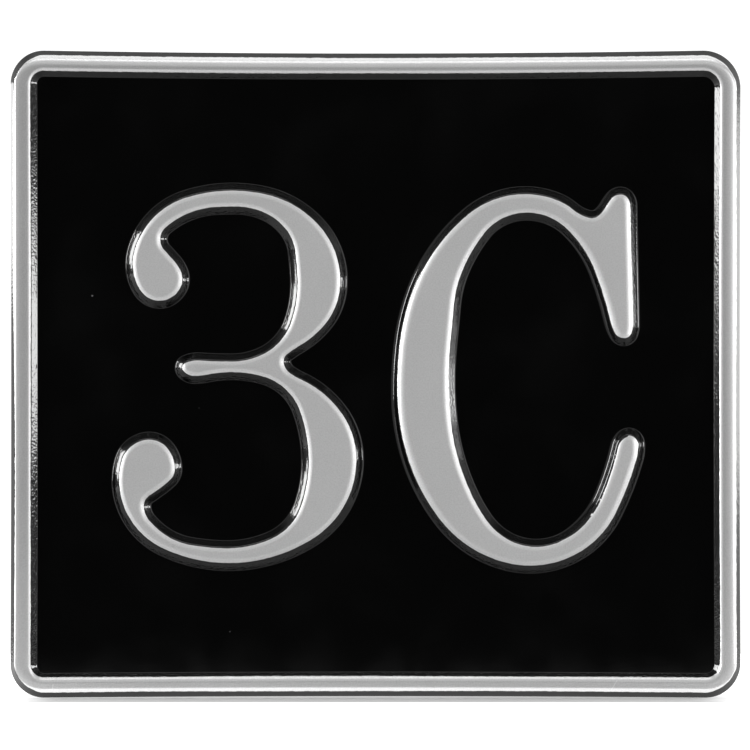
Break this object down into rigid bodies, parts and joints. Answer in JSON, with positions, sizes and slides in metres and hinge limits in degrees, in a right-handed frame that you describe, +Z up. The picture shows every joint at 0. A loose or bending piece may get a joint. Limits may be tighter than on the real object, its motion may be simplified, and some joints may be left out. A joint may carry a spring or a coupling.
{
  "type": "house number plaque",
  "caption": "Rectangular pressed metal plaque with rounded corners, a raised rim and a raised figure and letter that name a house or flat, hollow behind, for fixing flat to a wall or door.",
  "frame": {"origin": "middle of the plaque's back, in the plane that lies against the wall", "axes": "+Z up, +X to the right as the characters are read, +Y into the wall, so the front faces -Y"},
  "size_m": [0.1446, 0.0026, 0.1282],
  "materials": {
    "enamelled_aluminium": "gloss black enamel on pressed aluminium sheet, with the tops of the rim and the characters left as bare satin metal"
  },
  "bodies": {
    "root": {"plaque": "enamelled_aluminium"}
  },
  "joints": []
}
